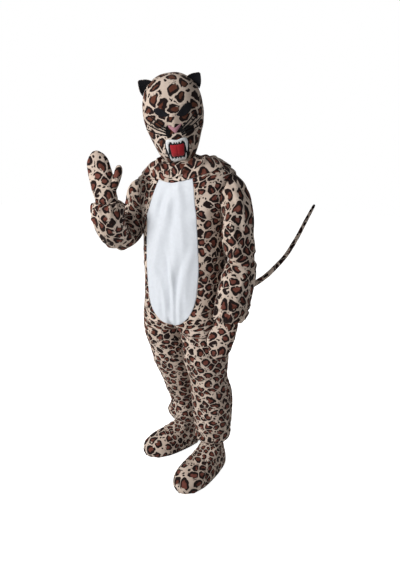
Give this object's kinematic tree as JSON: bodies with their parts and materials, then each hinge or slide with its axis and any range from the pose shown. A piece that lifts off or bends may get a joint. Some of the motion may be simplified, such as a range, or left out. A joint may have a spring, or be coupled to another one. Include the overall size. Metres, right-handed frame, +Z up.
{
  "type": "leopard costume",
  "caption": "Full-body leopard fancy-dress set, hollow in a waving pose: plush jumpsuit with white belly and tail, roaring hood mask with bib, mittens and boot covers.",
  "frame": {"origin": "middle of the shoulder line, where the wearer's shoulders carry the suit", "axes": "+Z up, -Y the way the front of the suit faces, +X towards the wearer's left"},
  "size_m": [0.6578, 0.819, 1.6841],
  "materials": {
    "leopard_plush": "short-pile printed plush: tan ground, red-brown rosettes with broken black rings, soft sheen",
    "white_knit": "smooth cool-white stretch knit with a faint satin sheen",
    "black_felt": "matt black short-nap felt",
    "pink_felt": "dusty pink felt",
    "red_felt": "red velvet",
    "white_felt": "off-white felt",
    "whisker": "stiff black strand",
    "sole_cloth": "black non-slip cloth"
  },
  "bodies": {
    "root": {"front_left": "leopard_plush", "front_right": "leopard_plush", "back_left": "leopard_plush", "back_right": "leopard_plush", "back_placket": "leopard_plush", "sleeve_left": "leopard_plush", "sleeve_right": "leopard_plush", "bib_front": "leopard_plush", "bib_back": "leopard_plush", "tail": "leopard_plush", "mask_front": "leopard_plush", "mask_back": "leopard_plush", "ear_left_outer": "leopard_plush", "ear_right_outer": "leopard_plush", "mitten_left_back": "leopard_plush", "mitten_left_palm": "leopard_plush", "mitten_right_back": "leopard_plush", "mitten_right_palm": "leopard_plush", "boot_left_upper": "leopard_plush", "boot_right_upper": "leopard_plush", "belly_panel": "white_knit", "mouth_ground": "black_felt", "eye_left": "black_felt", "eye_right": "black_felt", "ear_left_inner": "black_felt", "ear_right_inner": "black_felt", "nose": "pink_felt", "tongue": "red_felt", "teeth_upper": "white_felt", "teeth_lower": "white_felt", "whisker_left_1": "whisker", "whisker_left_2": "whisker", "whisker_left_3": "whisker", "whisker_left_4": "whisker", "whisker_right_1": "whisker", "whisker_right_2": "whisker", "whisker_right_3": "whisker", "whisker_right_4": "whisker", "boot_left_sole": "sole_cloth", "boot_right_sole": "sole_cloth"}
  },
  "joints": []
}
